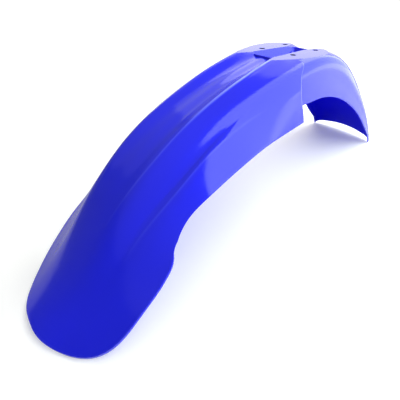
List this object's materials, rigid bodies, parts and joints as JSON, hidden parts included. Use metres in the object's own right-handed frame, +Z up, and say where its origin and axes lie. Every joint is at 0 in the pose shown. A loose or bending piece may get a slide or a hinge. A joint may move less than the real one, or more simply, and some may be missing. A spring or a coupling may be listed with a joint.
{
  "type": "motorcycle front mudguard",
  "caption": "One-piece moulded plastic motocross front mudguard: long arched shell with a centre channel, flat bolt pads, fork reliefs, side skirts and a broad rounded nose.",
  "frame": {"origin": "centre of the four bolt holes, on the flat top of the pads", "axes": "+X to the nose, +Y to the rider's left, +Z up out of the pads"},
  "size_m": [0.7919, 0.2246, 0.2497],
  "materials": {
    "shell": "gloss moulded polypropylene, deep blue"
  },
  "bodies": {
    "root": {"front_mudguard": "shell"}
  },
  "joints": []
}
